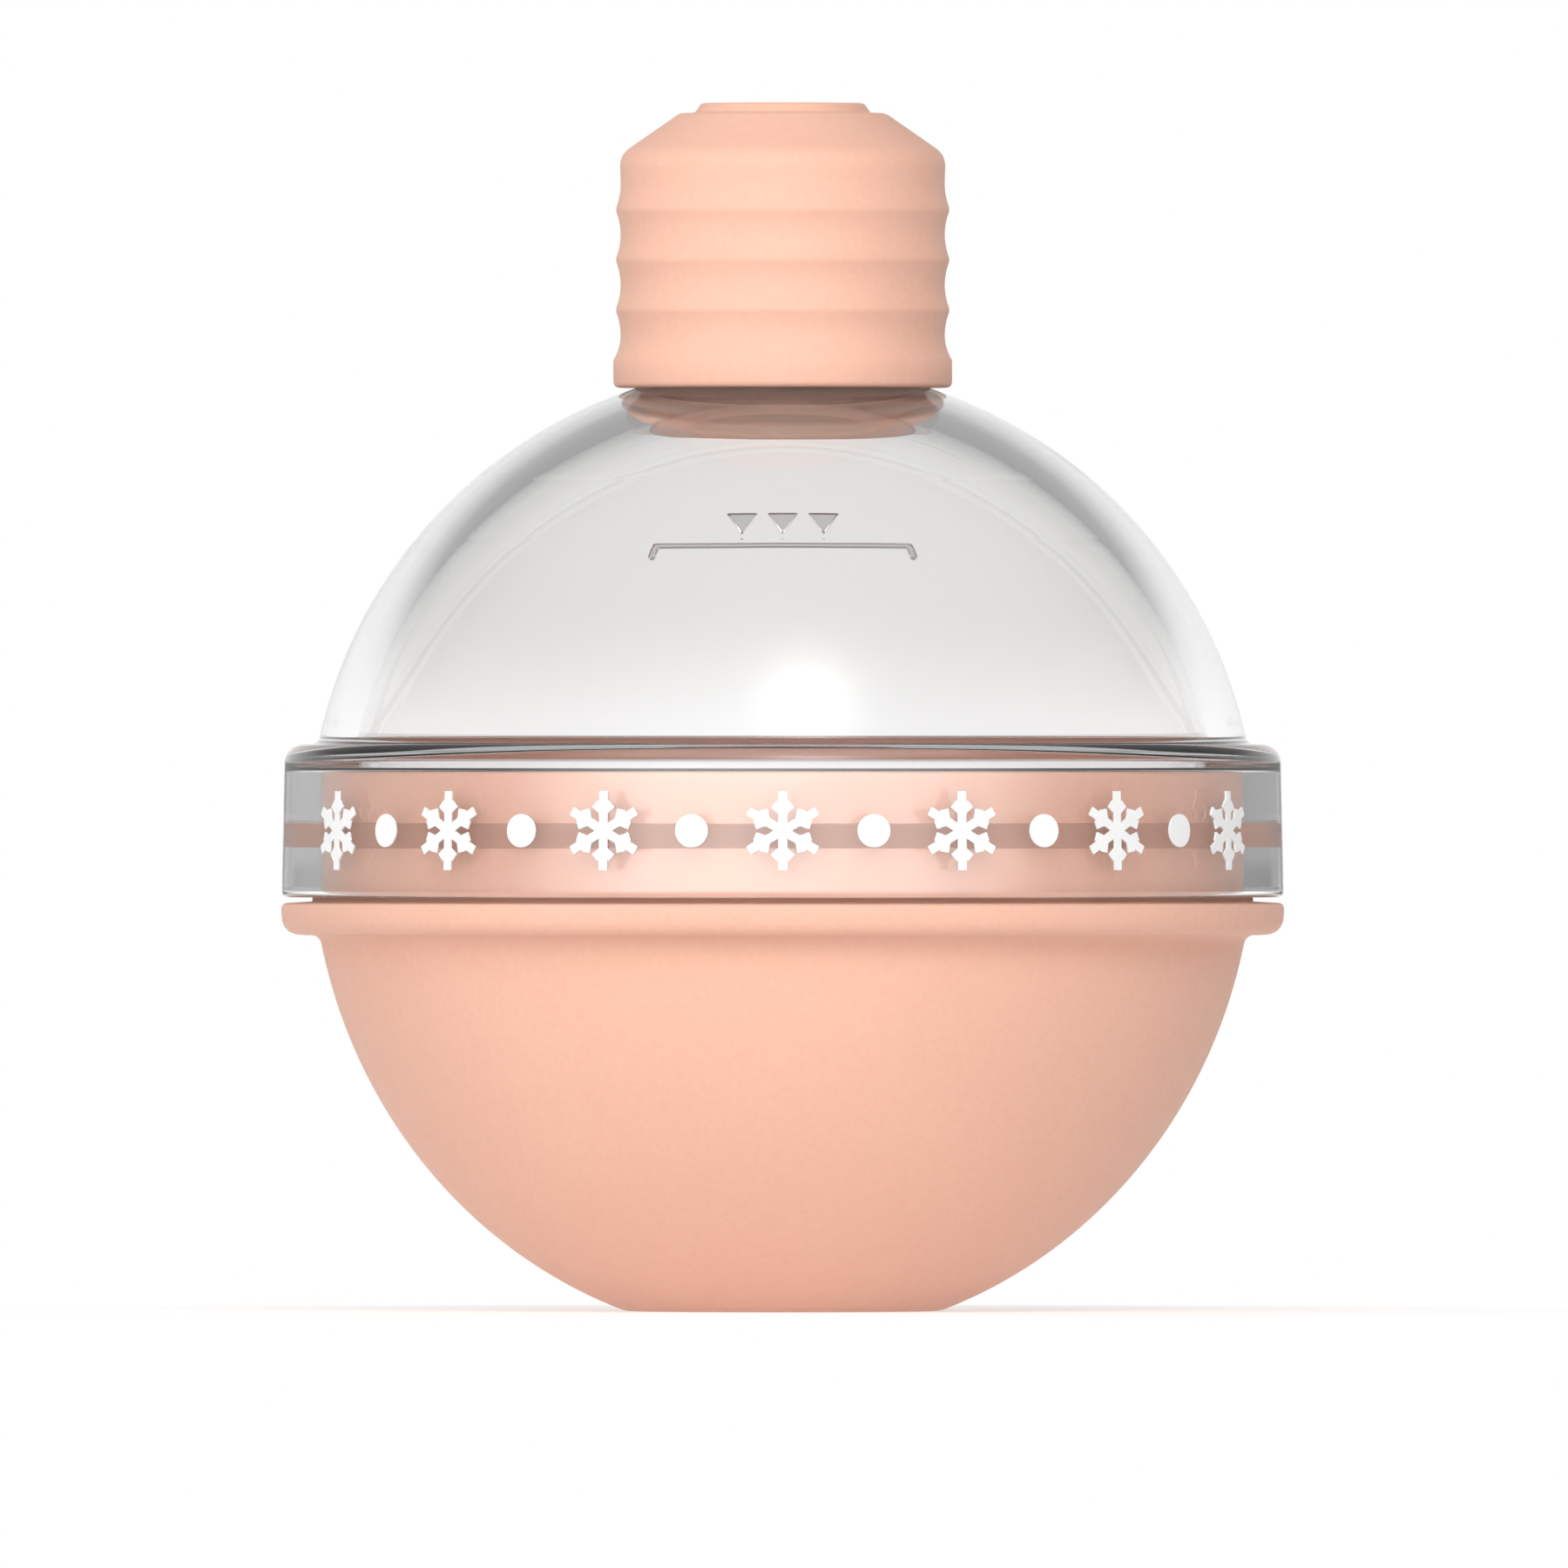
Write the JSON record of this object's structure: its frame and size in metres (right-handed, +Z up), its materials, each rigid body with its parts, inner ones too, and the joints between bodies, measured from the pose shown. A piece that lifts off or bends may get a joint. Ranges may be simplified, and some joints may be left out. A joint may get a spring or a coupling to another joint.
{
  "type": "ice ball mould",
  "caption": "Bulb-shaped mould for one ice ball: a silicone base with a sealing collar, a clear lift-off dome with a fill hole, and a ribbed silicone stopper that plugs it.",
  "frame": {"origin": "middle of the flat foot, on the surface that the mould stands on", "axes": "+Z up along the mould's axis, from the foot to the cap's tip; the printed front looks along -Y, the fill line is on the +Y side"},
  "size_m": [0.0728, 0.0729, 0.0877],
  "materials": {
    "silicone": "matte moulded silicone, peach",
    "clear_plastic": "polished clear plastic",
    "white_ink": "white screen print"
  },
  "bodies": {
    "base": {"base_mould": "silicone"},
    "dome": {"dome": "clear_plastic", "skirt_print": "white_ink"},
    "cap": {"cap": "silicone"}
  },
  "joints": [
    {"name": "dome_lift", "type": "slide", "parent": "base", "child": "dome", "axis": [0, 0, 1], "range_m": [0, 0.045]},
    {"name": "cap_pull", "type": "slide", "parent": "dome", "child": "cap", "axis": [0, 0, 1], "range_m": [0, 0.025]}
  ]
}
